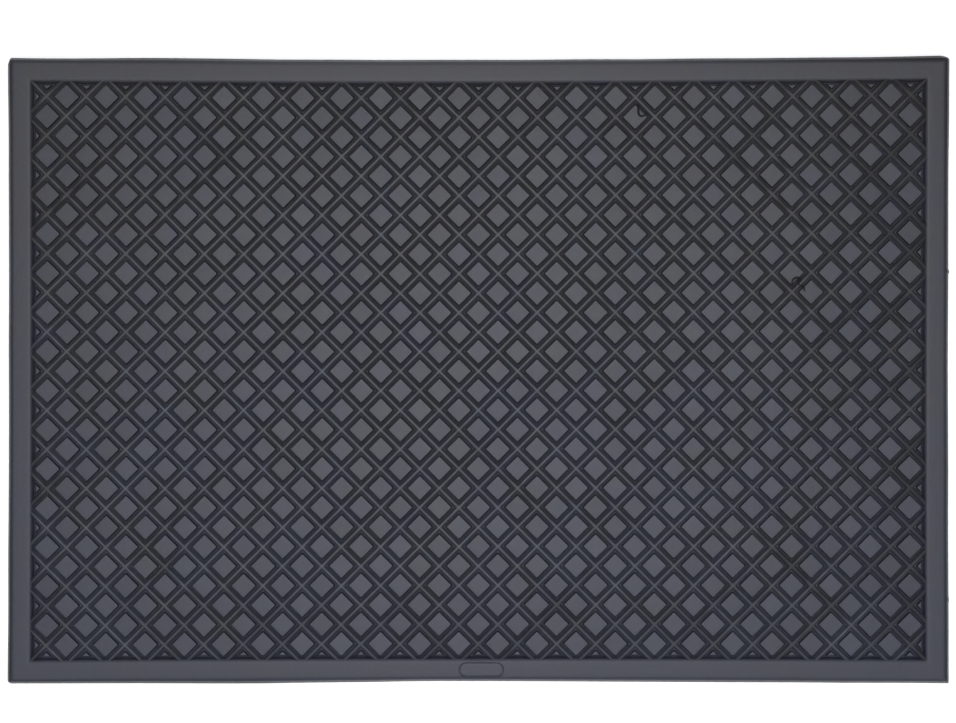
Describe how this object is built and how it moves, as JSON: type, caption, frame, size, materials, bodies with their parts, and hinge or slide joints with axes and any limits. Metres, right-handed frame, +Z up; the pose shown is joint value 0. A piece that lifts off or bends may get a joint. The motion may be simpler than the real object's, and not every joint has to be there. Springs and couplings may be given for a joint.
{
  "type": "door mat",
  "caption": "Flat rectangular rubber scraper door mat with a diagonal grid of raised ribs, square lugs in the grid's cells and a plain raised border.",
  "frame": {"origin": "centre of the flat underside, on the floor", "axes": "+X along the mat's long side, +Y towards the back edge (the badge panel is in the front border, at -Y), +Z up out of the tread"},
  "size_m": [0.6, 0.4, 0.008],
  "materials": {
    "base_rubber": "matt, fine grained",
    "lug_rubber": "matt, slightly dusty",
    "rib_rubber": "matt, paler along the crests",
    "border_rubber": "matt, fine grained",
    "badge_rubber": "matt, smooth"
  },
  "bodies": {
    "root": {"base_sheet": "base_rubber", "lug_sheet": "lug_rubber", "scraper_grid": "rib_rubber", "border_front": "border_rubber", "border_right": "border_rubber", "border_back": "border_rubber", "border_left": "border_rubber", "badge_panel": "badge_rubber"}
  },
  "joints": []
}
